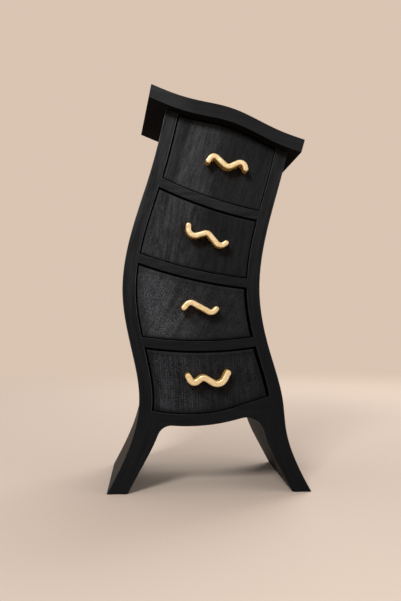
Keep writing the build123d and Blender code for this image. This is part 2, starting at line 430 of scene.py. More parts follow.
def along(graph: Graph, grain: Grain, lean: float = 0.0) -> Socket:
    """Object coordinates turned so that their third axis lies along the grain.

    Args:
        graph: the material's graph.
        grain: the direction of the grain.
        lean: how far the grain leans to the right on the front, in degrees.

    Returns:
        The turned place's socket.
    """
    quarter = math.radians(90.0)
    turns = {
        Grain.ALONG_X: (0.0, quarter, 0.0),
        Grain.ALONG_Y: (quarter, 0.0, 0.0),
        Grain.ALONG_Z: (0.0, 0.0, 0.0),
    }
    turn = Vector(turns[grain]) + Vector((0.0, math.radians(-lean), 0.0))
    return graph.add("ShaderNodeMapping", {"Vector": graph.object_place(), "Rotation": turn}).outputs[0]


def new_material(name: str) -> tuple[bpy.types.Material, Graph, bpy.types.Node]:
    """A material with an empty graph, a Principled shader and its output.

    Args:
        name: the material's name.

    Returns:
        The material, its graph and the shader node.
    """
    material = bpy.data.materials.new(name)
    material.use_nodes = True
    material.node_tree.nodes.clear()
    graph = Graph(material.node_tree)
    shader = graph.add("ShaderNodeBsdfPrincipled")
    graph.add("ShaderNodeOutputMaterial", {"Surface": shader.outputs["BSDF"]})
    return material, graph, shader


@dataclass(frozen=True)
class Finish:
    """What every finish has: a name, and a material that is built from the shared effects."""

    name: str

    def make(self, effects: Effects) -> bpy.types.Material:
        """Builds the material.

        Args:
            effects: the shared effects.

        Returns:
            The material.
        """
        material, graph, shader = new_material(self.name)
        graph.feed(shader, self.surface(graph, effects))
        return material

    def surface(self, graph: Graph, effects: Effects) -> dict[str, Any]:
        """Adds the finish's own nodes, and gives what each input of the shader gets."""
        raise NotImplementedError


@dataclass(frozen=True)
class PaintedLight:
    """Painted light: where the black paint is painted a paler grey, as if more light fell on it, along one
    axis of the chest or at a lean to it.

    Attributes:
        axis: 0 across, 1 from front to back, 2 upwards.
        most: the place along the axis where the paint is palest.
        least: the place from which only the rest is left.
        rest: the share that is left there, from 0 to 1.
        drift: how far the patch's edge wanders.
        lean: how far that edge leans to the right on the front, in degrees.
    """

    axis: int
    most: float
    least: float
    rest: float = 0.22
    drift: float = 6.0 * MM
    lean: float = 0.0

    def mask(self, graph: Graph) -> Socket:
        """A mask of how much painted light the paint gets.

        Args:
            graph: the material's graph.

        Returns:
            The mask's socket.
        """
        place = graph.object_place()
        parts = graph.parts(place)
        slope = math.tan(math.radians(self.lean))
        run = graph.math("MULTIPLY_ADD", parts[2], -slope, parts[self.axis])
        wander = graph.noise(place, scale=70.0, detail=3.0)
        drift = graph.spread(wander, 0.3, 0.7, to=(-self.drift, self.drift))
        return graph.spread(graph.math("ADD", run, drift), self.most, self.least, to=(1.0, self.rest))


@dataclass(frozen=True)
class SatinPaint(Finish):
    """Black satin paint brushed over wood, with brush marks and softly rounded edges.

    Attributes:
        grain: the direction of the brush marks.
        dark: the colour between the marks, and of the painted shade in a front's gap.
        light: the colour of the marks where the painted light is strongest.
        edge: the colour of scuffed edges with their painted highlight, and of a front's painted border
            highlight.
        lean: how far the marks lean to the right on the front, in degrees.
        smooth: the roughness of the palest paint.
        rough: the roughness of the darkest paint.
        contrast: how far the marks stand out, from 0 to 1.
        streaks: the strength of the brushed strokes.
        speckle: the strength of the dry grains.
        weave: the strength of the canvas threads.
        mark_range: between which shares of all marks together the paint goes from dark to light.
        relief: how high the marks stand.
        rim: the strength of the painted highlight on the low border of a drawer's front, from 0 for none.
        margin: how much painted shade darkens the paint towards the edges of its board.
        gap_shadow_reach: the width of the painted shadow line round a bordered front.
        gap_shadow_depth: how dark that painted shadow line is.
        edge_fade: how closely the edges' scuffs and painted highlight fade with the painted light, from 0
            for not at all.
        wear_and_highlight_fade: from where to where across the chest the scuffs and painted highlight of cut
            edges fade.
        far_wear: the share of them that is left past there.
        sway: height and reach of the edge that the marks follow, or nothing.
        painted_lights: where painted light makes the paint paler.
    """

    grain: Grain
    dark: Colour = (0.0020, 0.0029, 0.0037)
    light: Colour = (0.0125, 0.0130, 0.0138)
    edge: Colour = (0.050, 0.051, 0.053)
    lean: float = 0.0
    specular: float = 0.085
    smooth: float = 0.46
    rough: float = 0.60
    contrast: float = 0.6
    streaks: float = 1.0
    broad_share: float = 0.6
    fine_share: float = 0.4
    stroke_length: float = 14.0
    speckle: float = 0.25
    grain_fineness: float = 1300.0
    grain_length: float = 1.0
    weave: float = 0.0
    mark_range: Point = (0.12, 0.72)
    relief: float = 0.05 * MM
    rim: float = 0.0
    margin: float = 0.0
    gap_shadow_reach: float = 0.7 * MM
    gap_shadow_depth: float = 0.85
    # Which edges get scuffs and a painted highlight.
    wear: WearAndHighlight = WearAndHighlight.EVERY_EDGE
    edge_fade: float = 0.5
    wear_and_highlight_fade: Point = (-20.0 * MM, 20.0 * MM)
    far_wear: float = 0.45
    sway: tuple[Point, ...] = ()
    painted_lights: tuple[PaintedLight, ...] = ()

    def surface(self, graph: Graph, effects: Effects) -> dict[str, Any]:
        """Adds the marks, the painted light and shade, a front's border with its painted highlight and gap
        shade, and the scuffed edges with their painted highlight.

        Args:
            graph: the material's graph.
            effects: the shared effects.

        Returns:
            The shader's socket name to a plain value or a socket.
        """
        marks = self._marks(graph, effects)
        total = self.streaks + self.speckle + self.weave
        low, high = (share * total for share in self.mark_range)
        # Painted light and shade: the marks are paler where painted light lies, and darker on faces that
        # look down.
        pale = self._painted_light_share(graph)
        tone = graph.product(graph.spread(marks, low, high, to=(1.0 - self.contrast, 1.0)), pale)
        # Painted shade: darker towards the edges of the board.
        if self.margin:
            near = effects.margin.place(graph)["Mask"]
            tone = graph.product(tone, graph.spread(near, 0.0, 1.0, to=(1.0, 1.0 - self.margin)))
        colour = graph.blend(tone, self.dark, self.light)
        # Painted highlight on a front's border, and painted shade in its gap.
        if self.rim:
            colour = self._border(graph, effects, colour, pale)
        # Scuffed edges with a painted highlight, paler where painted light lies.
        worn_and_highlit, normal = self._worn_and_highlit_edges(graph, effects)
        edge_wear_and_highlight = graph.product(worn_and_highlit, graph.math("POWER", pale, self.edge_fade))
        colour = graph.blend(edge_wear_and_highlight, colour, self.edge)
        return {
            "Base Color": colour,
            "Roughness": graph.spread(tone, 0.0, 1.0, to=(self.rough, self.smooth)),
            "Normal": graph.bump(marks, self.relief, strength=0.6, normal=normal),
            "Specular IOR Level": self.specular,
        }

    def _marks(self, graph: Graph, effects: Effects) -> Socket:
        """Adds up the strokes, grains and threads, each by its strength.

        Args:
            graph: the material's graph.
            effects: the shared effects.

        Returns:
            The sum's socket.
        """
        place = self._follow_sway(graph) if self.sway else along(graph, self.grain, self.lean)
        strokes = effects.streaks.place(graph, {"Vector": place, "Length": self.stroke_length})
        shape = {"Vector": place, "Fineness": self.grain_fineness, "Length": self.grain_length}
        grains = effects.speckle.place(graph, shape)["Mask"]
        threads = effects.weave.place(graph, {"Vector": place})["Mask"]
        marks = graph.product(strokes["Broad"], self.streaks * self.broad_share)
        strengths = (
            (strokes["Fine"], self.streaks * self.fine_share),
            (grains, self.speckle),
            (threads, self.weave),
        )
        for mask, strength in strengths:
            marks = graph.math("MULTIPLY_ADD", mask, strength, marks)
        return marks

    def _painted_light_share(self, graph: Graph) -> Socket:
        """A mask of painted light: paler where the painted light lies, and painted shade on faces that look
        down, which never get it.
        """
        # Painted shade: faces that look down get no painted light.
        pale = graph.spread(graph.facing()[2], low=-0.6, high=-0.15)
        return graph.product(pale, *(rub.mask(graph) for rub in self.painted_lights))

    def _border(self, graph: Graph, effects: Effects, colour: Socket, pale: Socket) -> Socket:
        """Adds a painted highlight on the low border of a drawer's front, and painted shade along its outer
        edge and on its side faces.

        Args:
            graph: the material's graph.
            effects: the shared effects.
            colour: the paint's colour so far.
            pale: the mask of painted light.

        Returns:
            The changed colour's socket.
        """
        flats = effects.cuts.place(graph)
        # Painted highlight on the low border, where painted light lies.
        colour = graph.blend(graph.product(flats["Rim"], pale, self.rim), colour, self.edge)
        # Painted shade: a dark line along the front's outer edge, and dark side faces, as if the gap lay in
        # shadow.
        line = effects.margin.place(graph, {"Reach": self.gap_shadow_reach})["Mask"]
        gap_shade = graph.math("MAXIMUM", graph.product(line, self.gap_shadow_depth), flats["Side"])
        return graph.blend(gap_shade, colour, self.dark)

    def _worn_and_highlit_edges(self, graph: Graph, effects: Effects) -> tuple[Socket, Socket | None]:
        """A mask of the scuffed edges with their painted highlight, and the normal that the brush marks
        start from.

        Args:
            graph: the material's graph.
            effects: the shared effects.

        Returns:
            The mask's socket, and the normal's socket or None for the surface's own.
        """
        place = graph.object_place()
        patches = graph.spread(graph.noise(place, scale=260.0, detail=3.0), 0.3, 0.6, to=(0.35, 1.0))
        if self.wear is WearAndHighlight.CUT_EDGES:
            cuts = effects.cuts.place(graph)["Cut"]
            # The scuffs and painted highlight fade towards the right of the chest.
            toward_lit_side = graph.spread(graph.parts(place)[0], *self.wear_and_highlight_fade, to=(1.0, self.far_wear))
            return graph.product(cuts, patches, toward_lit_side), None
        edges = effects.edges.place(graph)
        return graph.product(edges["Mask"], patches), edges["Normal"]

    def _follow_sway(self, graph: Graph) -> Socket:
        """Object coordinates drawn straight along the swaying edge of a side panel.

        Args:
            graph: the material's graph.

        Returns:
            The straightened place's socket.
        """
        parts = graph.parts(graph.object_place())
        reaches = [reach for _, reach in self.sway]
        tallest, low, high = self.sway[-1][0], min(reaches), max(reaches)
        curve = graph.add("ShaderNodeFloatCurve", {"Value": graph.math("DIVIDE", parts[2], tallest)})
        curve.mapping.use_clip = False
        points = curve.mapping.curves[0].points
        while len(points) < len(self.sway):
            points.new(0.5, 0.5)
        for point, (height, reach) in zip(points, self.sway):
            point.location = (height / tallest, (reach - low) / (high - low))
        curve.mapping.update()
        edge = graph.math("MULTIPLY_ADD", curve.outputs["Value"], high - low, low)
        across = graph.math("SUBTRACT", parts[0], edge)
        return graph.add("ShaderNodeCombineXYZ", {0: across, 1: parts[1], 2: parts[2]}).outputs[0]


@dataclass(frozen=True)
class CastGold(Finish):
    """Pale gold with a matt, mottled face; down its sides a deeper colour, which is painted shade.

    Attributes:
        face: where the pulls' faces lie, from front to back.
        side_shade_from: how far behind the face the painted shade of the sides begins.
        side_shade_full: how far behind the face that painted shade is full.
        side_shade_metallic: how metallic the gold is from there on.
    """

    face: float
    pale: Colour = (0.96, 0.79, 0.49)
    deep: Colour = (0.82, 0.56, 0.23)
    pit: Colour = (0.62, 0.42, 0.17)
    # The deeper colour of the sides is painted shade.
    side: Colour = (0.86, 0.50, 0.10)
    side_shade_from: float = 0.5 * MM
    side_shade_full: float = 1.9 * MM
    metallic: float = 0.55
    side_shade_metallic: float = 0.4

    def surface(self, graph: Graph, effects: Effects) -> dict[str, Any]:
        """Adds the clouded gold, its pits and the painted shade of its sides.

        Args:
            graph: the material's graph.
            effects: the shared effects.

        Returns:
            The shader's socket name to a plain value or a socket.
        """
        place = graph.object_place()
        clouded = graph.spread(graph.noise(place, scale=620.0, detail=3.0, roughness=0.6), 0.32, 0.58)
        pits = effects.speckle.place(graph, {"Vector": place, "Fineness": 1700.0})["Mask"]
        colour = graph.blend(clouded, self.deep, self.pale)
        colour = graph.blend(graph.spread(pits, 0.6, 0.95, to=(0.0, 0.5)), colour, self.pit)
        # Painted shade: behind the face the sides get a deeper colour and less metal.
        down = graph.spread(graph.parts(place)[1], self.face + self.side_shade_from, self.face + self.side_shade_full)
        return {
            "Base Color": graph.blend(down, colour, self.side),
            "Metallic": graph.spread(down, 0.0, 1.0, to=(self.metallic, self.side_shade_metallic)),
            "Roughness": graph.spread(clouded, 0.0, 1.0, to=(0.5, 0.36)),
            "Normal": graph.bump(graph.math("SUBTRACT", clouded, pits), 0.03 * MM, strength=0.5),
        }


@dataclass(frozen=True)
class SandedWood(Finish):
    """Bare pale wood, sawn and sanded, with its figure and pores."""

    grain: Grain
    pale: Colour = (0.62, 0.44, 0.26)
    deep: Colour = (0.44, 0.275, 0.135)
    pore: Colour = (0.24, 0.14, 0.065)
    ring_share: float = 0.6
    band_share: float = 0.4
    pore_share: float = 0.6
    edge_share: float = 0.3

    def surface(self, graph: Graph, effects: Effects) -> dict[str, Any]:
        """Adds the figure, the pores and slightly paler edges.

        Args:
            graph: the material's graph.
            effects: the shared effects.

        Returns:
            The shader's socket name to a plain value or a socket.
        """
        place = along(graph, self.grain)
        wood = effects.fibres.place(graph, {"Vector": place})
        strokes = effects.streaks.place(graph, {"Vector": place, "Fineness": 900.0, "Length": 18.0})
        bands = graph.product(strokes["Broad"], self.band_share)
        figure = graph.math("MULTIPLY_ADD", wood["Figure"], self.ring_share, bands)
        colour = graph.blend(figure, self.pale, self.deep)
        colour = graph.blend(graph.product(wood["Pores"], self.pore_share), colour, self.pore)
        edges = effects.edges.place(graph)
        height = graph.math("SUBTRACT", strokes["Fine"], wood["Pores"])
        return {
            "Base Color": graph.blend(graph.product(edges["Mask"], self.edge_share), colour, self.pale),
            "Roughness": graph.spread(figure, 0.0, 1.0, to=(0.58, 0.72)),
            "Normal": graph.bump(height, 0.04 * MM, strength=0.5, normal=edges["Normal"]),
            "Specular IOR Level": 0.3,
        }


@dataclass(frozen=True)
class Felt(Finish):
    """Dark pressed felt with a short nap and a few paler fibres."""

    dark: Colour = (0.020, 0.018, 0.021)
    light: Colour = (0.085, 0.079, 0.087)
    nap_share: float = 0.6
    clump_share: float = 0.4
    hair_share: float = 0.5
    sheen: float = 0.6

    def surface(self, graph: Graph, effects: Effects) -> dict[str, Any]:
        """Adds the nap, its clumps and single hairs.

        Args:
            graph: the material's graph.
            effects: the shared effects.

        Returns:
            The shader's socket name to a plain value or a socket.
        """
        place = graph.object_place()
        nap = graph.noise(place, scale=2400.0, detail=4.0, roughness=0.7)
        clumps = graph.product(graph.noise(place, scale=320.0, detail=3.0), self.clump_share)
        hairs = effects.streaks.place(graph, {"Vector": place, "Fineness": 1800.0, "Length": 5.0})["Fine"]
        mask = graph.math("MULTIPLY_ADD", nap, self.nap_share, clumps)
        height = graph.math("ADD", nap, graph.product(hairs, self.hair_share))
        return {
            "Base Color": graph.blend(graph.spread(mask, 0.35, 0.65), self.dark, self.light),
            "Roughness": graph.spread(mask, 0.3, 0.7, to=(0.86, 1.0)),
            "Normal": graph.bump(height, 0.12 * MM, strength=0.8),
            "Sheen Weight": self.sheen,
            "Sheen Roughness": 0.45,
            "Specular IOR Level": 0.15,
        }


@dataclass(frozen=True)
class DrawnSteel(Finish):
    """Plain drawn steel, as on the pins that hold the top."""

    bright: Colour = (0.56, 0.56, 0.57)
    dull: Colour = (0.40, 0.40, 0.41)

    def surface(self, graph: Graph, effects: Effects) -> dict[str, Any]:
        """Adds the fine lines that drawing leaves.

        Args:
            graph: the material's graph.
            effects: the shared effects.

        Returns:
            The shader's socket name to a plain value or a socket.
        """
        inputs = {"Vector": along(graph, Grain.ALONG_Z), "Fineness": 2500.0, "Length": 25.0}
        lines = effects.streaks.place(graph, inputs)["Fine"]
        return {
            "Base Color": graph.blend(lines, self.dull, self.bright),
            "Metallic": 1.0,
            "Roughness": graph.spread(lines, 0.0, 1.0, to=(0.42, 0.28)),
            "Normal": graph.bump(lines, 0.01 * MM, strength=0.4),
        }


def dress(piece: bpy.types.Object, material: bpy.types.Material) -> None:
    """Gives a piece one material all over.

    Args:
        piece: the piece, new or from the frame.
        material: its finish.
    """
    if not piece.material_slots:
        piece.data.materials.append(material)
    for slot in piece.material_slots:
        slot.material = material


def pick_none() -> None:
    """Deselects every object, so that the next operator acts on the new piece alone."""
    if bpy.context.object and bpy.context.object.mode != "OBJECT":
        bpy.ops.object.mode_set(mode="OBJECT")
    bpy.ops.object.select_all(action="DESELECT")


def pick(piece: bpy.types.Object) -> None:
    """Makes one piece the only selected and the active one.

    Args:
        piece: the piece.
    """
    pick_none()
    piece.select_set(True)
    bpy.context.view_layer.objects.active = piece


def settle(piece: bpy.types.Object, name: str) -> None:
    """Names a piece and puts its place, turn and scale into its mesh.

    Args:
        piece: the piece.
        name: its new name.
    """
    pick(piece)
    bpy.ops.object.transform_apply(location=True, rotation=True, scale=True)
    piece.name = name
    piece.data.name = name


def apply_modifier(piece: bpy.types.Object, kind: str, **settings: Any) -> None:
    """Adds a modifier and applies it.

    Args:
        piece: the piece, in object mode.
        kind: the modifier's type.
        settings: its properties.
    """
    pick(piece)
    modifier = piece.modifiers.new(kind.lower(), kind)
    for name, value in settings.items():
        setattr(modifier, name, value)
    bpy.ops.object.modifier_apply(modifier=modifier.name)


def choose(piece: bpy.types.Object, test: Callable[[Any], bool], kind: str = "verts") -> None:
    """Selects what passes a test in edit mode, and nothing else.

    Args:
        piece: the piece, in edit mode.
        test: says of a vertex, edge or face whether it is selected.
        kind: verts, edges or faces.
    """
    bpy.ops.mesh.select_all(action="DESELECT")
    modes = {"verts": "VERT", "edges": "EDGE", "faces": "FACE"}
    bpy.ops.mesh.select_mode(type=modes[kind])
    shape = bmesh.from_edit_mesh(piece.data)
    for element in getattr(shape, kind):
        if test(element):
            element.select_set(True)
    shape.select_flush_mode()
    bmesh.update_edit_mesh(piece.data)


def mark(piece: bpy.types.Object, group: str, test: Callable[[bpy.types.MeshVertex], bool]) -> None:
    """Puts the vertices that pass a test in a new vertex group of the piece, in object mode."""
    chosen = [vertex.index for vertex in piece.data.vertices if test(vertex)]
    piece.vertex_groups.new(name=group).add(chosen, 1.0, "REPLACE")


def roughen(piece: bpy.types.Object, name: str, size: float, height: float, **settings: Any) -> None:
    """Makes a surface uneven by moving it in and out in soft clouds.

    Args:
        piece: the piece, in object mode.
        name: a name for the clouds.
        size: how large the clouds are.
        height: how far apart the lowest and highest places lie.
        settings: more properties of the Displace modifier.
    """
    texture = bpy.data.textures.new(name, "CLOUDS")
    texture.noise_scale = size
    texture.noise_depth = 2
    shared = {"texture": texture, "texture_coords": "LOCAL", "strength": height, "mid_level": 0.5}
    apply_modifier(piece, "DISPLACE", **shared, **settings)


@dataclass
class Pull:
    """A cast squiggle pull: a thick stroke with rounded ends, standing on two pegs in a drawer's front.

    Attributes:
        width: the thickness of the stroke.
        corners: the corners of the stroke's line, across and up.
        bends: the radius of the line at each corner between its ends.
        peg_shares: how far along the line the pegs stand.
        peg_sink: how far the pegs reach into the stroke.
        strips: how many rows of faces the stroke has across.
        bend_step: the turn of one row of faces in a bend, in degrees.
        still: how far from the drawer's front the sides stay even.
        front: where the pull's face lies, from front to back.
        seat: where the drawer's front lies, on which the pull stands.
        runs: both ends of each straight part of the line.
        arcs: the centre and the turn of each bend.
    """

    number: int
    width: float
    corners: tuple[Point, ...]
    bends: tuple[float, ...]
    depth: float = 7.5 * MM
    rounding: float = 0.7 * MM
    rounding_steps: int = 5
    peg_radius: float = 0.8 * MM
    peg_length: float = 4.0 * MM
    peg_sink: float = 1.0 * MM
    peg_shares: Point = (0.15, 0.85)
    strips: int = 4
    bend_step: float = 9.0
    fewest_bend_steps: int = 4
    end_steps: int = 10
    line_samples: int = 40
    grain_size: float = 0.17 * MM
    wobble: float = 0.16 * MM
    wobble_size: float = 3.2 * MM
    dents: float = 0.07 * MM
    dent_size: float = 1.1 * MM
    still: float = 0.4 * MM
    piece: bpy.types.Object = field(init=False)
    front: float = field(init=False)
    seat: float = field(init=False)
    runs: list[tuple[Vector, Vector]] = field(init=False, default_factory=list)
    arcs: list[tuple[Vector, float]] = field(init=False, default_factory=list)

    def build(self) -> None:
        """Models the pull where its solid in the frame stands."""
        low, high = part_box(f"drawer_{self.number}_pull")
        self.front = low.y
        self.seat = low.y + self.depth
        self._place_line(low, high)
        self._lay_ribbon()
        self._give_depth()
        self._round_front()
        self._add_pegs()
        self._cast()

    def _place_line(self, low: Vector, high: Vector) -> None:
        """Splits the line into straight runs and arcs, and moves it to where the frame has the pull.

        Args:
            low: the lowest corner of the pull's box.
            high: its highest corner.
        """
        points = [Vector((across, 0.0, rise)) for across, rise in self.corners]
        start = points[0]
        for before, corner, after, radius in zip(points, points[1:], points[2:], self.bends):
            into, out = (corner - before).normalized(), (after - corner).normalized()
            turn = into.cross(out).y
            angle = math.atan2(turn, into.dot(out))
            reach = radius * math.tan(abs(angle) / 2)
            side = Vector((0.0, 1.0, 0.0)).cross(into) * math.copysign(radius, angle)
            self.runs.append((start, corner - into * reach))
            self.arcs.append((corner - into * reach + side, angle))
            start = corner + out * reach
        self.runs.append((start, points[-1]))
        own_low, own_high = self._reach()
        shift = (low + high - own_low - own_high) / 2
        shift.y = self.front
        self.runs = [(begin + shift, end + shift) for begin, end in self.runs]
        self.arcs = [(centre + shift, angle) for centre, angle in self.arcs]

    @staticmethod
    def _swung(centre: Vector, arm: Vector, angle: float, share: float) -> Vector:
        """The end of an arm after it has turned about a centre by a share of an angle."""
        return centre + Matrix.Rotation(angle * share, 3, "Y") @ arm

    def _reach(self) -> tuple[Vector, Vector]:
        """The box of the line itself, with its bends sampled closely.

        Returns:
            The lowest and highest corner.
        """
        points = [point for run in self.runs for point in run]
        for (_, end), (centre, angle) in zip(self.runs, self.arcs):
            for step in range(1, self.line_samples):
                share = step / self.line_samples
                points.append(self._swung(centre, end - centre, angle, share))
        low = Vector(min(point[axis] for point in points) for axis in range(3))
        high = Vector(max(point[axis] for point in points) for axis in range(3))
        return low, high

    def _lay_ribbon(self) -> None:
        """Lays the flat face of the stroke: straight runs extruded, bends and both ends spun."""
        begin, end = self.runs[0]
        way = (end - begin).normalized()
        across = Vector((way.z, 0.0, -way.x))
        turn = Matrix((across, way, Vector((0.0, -1.0, 0.0)))).transposed()
        pick_none()
        bpy.ops.mesh.primitive_grid_add(
            x_subdivisions=self.strips,
            y_subdivisions=2,
            size=1.0,
            location=(begin + end) / 2,
            rotation=turn.to_euler(),
        )
        self.piece = bpy.context.object
        self.piece.scale = (self.width, (end - begin).length, 1.0)
        settle(self.piece, f"drawer_{self.number}_pull_cast")
        bpy.ops.object.mode_set(mode="EDIT")
        self._spin_end(begin, way)
        self._choose_row(end, way)
        for (centre, angle), (start, stop) in zip(self.arcs, self.runs[1:]):
            steps = max(self.fewest_bend_steps, round(abs(angle) / math.radians(self.bend_step)))
            self._spin(centre, angle, steps)
            bpy.ops.mesh.extrude_edges_move(TRANSFORM_OT_translate={"value": stop - start})
        begin, end = self.runs[-1]
        self._spin_end(end, (begin - end).normalized())
        bpy.ops.mesh.select_all(action="SELECT")
        bpy.ops.mesh.remove_doubles(threshold=CLOSE)

    def _choose_row(self, place: Vector, way: Vector, half: bool = False) -> None:
        """Selects the row of edges across the ribbon at a place.

        Args:
            place: the middle of the row.
            way: the direction of the ribbon there.
            half: whether only the half on one side of the middle is selected.
        """
        across = Vector((way.z, 0.0, -way.x))
        slack = 2 * CLOSE
        right = self.width / 2 + slack
        left = -slack if half else -right

        def in_row(vertex: Any) -> bool:
            """Whether a vertex lies in the row."""
            offset = vertex.co - place
            return abs(offset.dot(way)) < slack and left < offset.dot(across) < right

        choose(self.piece, in_row)
        bpy.ops.mesh.select_mode(type="EDGE")

    def _spin_end(self, place: Vector, inwards: Vector) -> None:
        """Rounds an end of the ribbon, from which inwards points, by spinning half of its last row."""
        self._choose_row(place, inwards, half=True)
        self._spin(place, math.pi, self.end_steps)

    @staticmethod
    def _spin(centre: Vector, angle: float, steps: int) -> None:
        """Spins the selected edges, right-handed about an axis through the centre and into the chest."""
        # The operator counts the angle the other way.
        bpy.ops.mesh.spin(steps=steps, angle=-angle, center=centre, axis=(0.0, 1.0, 0.0))

    def _give_depth(self) -> None:
        """Extrudes the flat face back to the drawer's front."""
        bpy.ops.mesh.select_mode(type="FACE")
        bpy.ops.mesh.select_all(action="SELECT")
        bpy.ops.mesh.extrude_region_move(TRANSFORM_OT_translate={"value": (0.0, self.depth, 0.0)})
        bpy.ops.mesh.select_all(action="SELECT")
        bpy.ops.mesh.normals_make_consistent(inside=False)

    def _round_front(self) -> None:
        """Bevels the edge round the pull's face."""
        limit = self.front + CLOSE

        def on_rim(edge: Any) -> bool:
            """Whether an edge lies between the face and a side wall."""
            level = all(vertex.co.y < limit for vertex in edge.verts)
            return level and sum(abs(face.normal.y) > FACING for face in edge.link_faces) == 1

        choose(self.piece, on_rim, "edges")
        steps = self.rounding_steps
        bpy.ops.mesh.bevel(offset=self.rounding, segments=steps, profile=0.5, affect="EDGES")

    def _add_pegs(self) -> None:
        """Adds the two pegs that go into the drawer's front."""
        for share in self.peg_shares:
            place = self._along(share)
            place.y = self.seat + (self.peg_length - self.peg_sink) / 2
            bpy.ops.mesh.primitive_cylinder_add(
                vertices=24,
                radius=self.peg_radius,
                depth=self.peg_length + self.peg_sink,
                location=place,
                rotation=(math.radians(90.0), 0.0, 0.0),
            )
        bpy.ops.object.mode_set(mode="OBJECT")

    def _along(self, share: float) -> Vector:
        """A point of the line.

        Args:
            share: how far along the line it lies, from 0 to 1.

        Returns:
            The point, on the pull's face.
        """
        spans: list[tuple[float, Callable[[float], Vector]]] = []
        for (begin, end), arc in zip_longest(self.runs, self.arcs):
            spans.append(((end - begin).length, partial(begin.lerp, end)))
            if arc:
                centre, angle = arc
                arm = end - centre
                spans.append((arm.length * abs(angle), partial(self._swung, centre, arm, angle)))
        left = share * sum(length for length, _ in spans)
        for length, point_at in spans:
            if left <= length:
                return point_at(left / length)
            left -= length
        return self.runs[-1][1].copy()

    def _cast(self) -> None:
        """Fuses stroke and pegs, softens them and gives the face its uneven cast surface."""
        apply_modifier(self.piece, "REMESH", mode="VOXEL", voxel_size=self.grain_size)
        apply_modifier(self.piece, "SMOOTH", factor=0.5, iterations=3)
        limit = self.seat - self.still
        mark(self.piece, "proud", lambda vertex: vertex.co.y < limit)
        unevenness = {"wobble": (self.wobble_size, self.wobble), "dents": (self.dent_size, self.dents)}
        for name, (size, height) in unevenness.items():
            roughen(self.piece, f"pull_{self.number}_{name}", size, height, vertex_group="proud")
        apply_modifier(self.piece, "SMOOTH", factor=0.3, iterations=1)
        pick(self.piece)
        bpy.ops.object.shade_smooth()

    def fit(self, finish: bpy.types.Material) -> None:
        """Dresses the pull and hangs it on its drawer.

        Args:
            finish: the gold material.
        """
        dress(self.piece, finish)
        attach(self.piece, f"drawer_{self.number}")
        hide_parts(f"drawer_{self.number}_pull")
        log.info("%s: %d faces", self.piece.name, len(self.piece.data.polygons))


@dataclass
class Lining:
    """A sheet of felt cut to a drawer's floor and laid on it.

    Attributes:
        seat: how far the felt lies above the floor.
        mesh_step: the size of the sheet's faces.
        edge_round: how far its cut edge is rounded.
        unevenness: how far its upper face goes up and down.
        nap_size: how large these ups and downs are.
        flat: the size that the sheet is cut to.
    """

    number: int
    thickness: float = 0.8 * MM
    seat: float = 0.1 * MM
    mesh_step: float = 1.2 * MM
    edge_round: float = 0.2 * MM
    unevenness: float = 0.10 * MM
    nap_size: float = 5.0 * MM
    piece: bpy.types.Object = field(init=False)
    flat: Point = field(init=False)

    def build(self) -> None:
        """Models the felt over the drawer's curved floor."""
        low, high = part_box(f"drawer_{self.number}_lining")
        size = high - low
        pick_none()
        bpy.ops.mesh.primitive_grid_add(
            x_subdivisions=round(size.x / self.mesh_step),
            y_subdivisions=round(size.y / self.mesh_step),
            size=1.0,
            location=((low.x + high.x) / 2, (low.y + high.y) / 2, high.z + size.z),
        )
        self.piece = bpy.context.object
        self.piece.scale = (size.x, size.y, 1.0)
        settle(self.piece, f"drawer_{self.number}_lining_felt")
        self._lay()
        self.flat = self._measure()
        self._thicken()

    def _lay(self) -> None:
        """Drops the flat sheet onto the floor board."""
        apply_modifier(
            self.piece,
            "SHRINKWRAP",
            target=bpy.data.objects[f"drawer_{self.number}_floor"],
            wrap_method="PROJECT",
            use_project_z=True,
            use_negative_direction=True,
            use_positive_direction=False,
            offset=self.seat,
        )

    def _measure(self) -> Point:
        """The size that the sheet is cut to: along its curve, and from front to back.

        Returns:
            Width and length in metres.
        """
        places = [vertex.co for vertex in self.piece.data.vertices]
        front = min(place.y for place in places)
        back = max(place.y for place in places)
        row = sorted((place for place in places if place.y < front + CLOSE), key=lambda place: place.x)
        return sum((b - a).length for a, b in zip(row, row[1:])), back - front

    def _thicken(self) -> None:
        """Gives the sheet its thickness, a soft cut edge and an uneven upper face."""
        apply_modifier(self.piece, "SOLIDIFY", thickness=self.thickness, offset=1.0)
        apply_modifier(self.piece, "BEVEL", width=self.edge_round, segments=2, limit_method="ANGLE")
        mark(self.piece, "nap", lambda vertex: vertex.normal.z > FACING)
        clouds = f"lining_{self.number}_nap"
        roughen(self.piece, clouds, self.nap_size, self.unevenness, direction="Z", vertex_group="nap")
        pick(self.piece)
        bpy.ops.object.shade_smooth_by_angle(angle=math.radians(50.0))

    def fit(self, finish: bpy.types.Material) -> None:
        """Args:
            finish: the felt material.
        """
        dress(self.piece, finish)
        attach(self.piece, f"drawer_{self.number}")
        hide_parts(f"drawer_{self.number}_lining")
        width, length = (round(side / MM, 1) for side in self.flat)
        log.info("%s: cut %s x %s mm", self.piece.name, width, length)


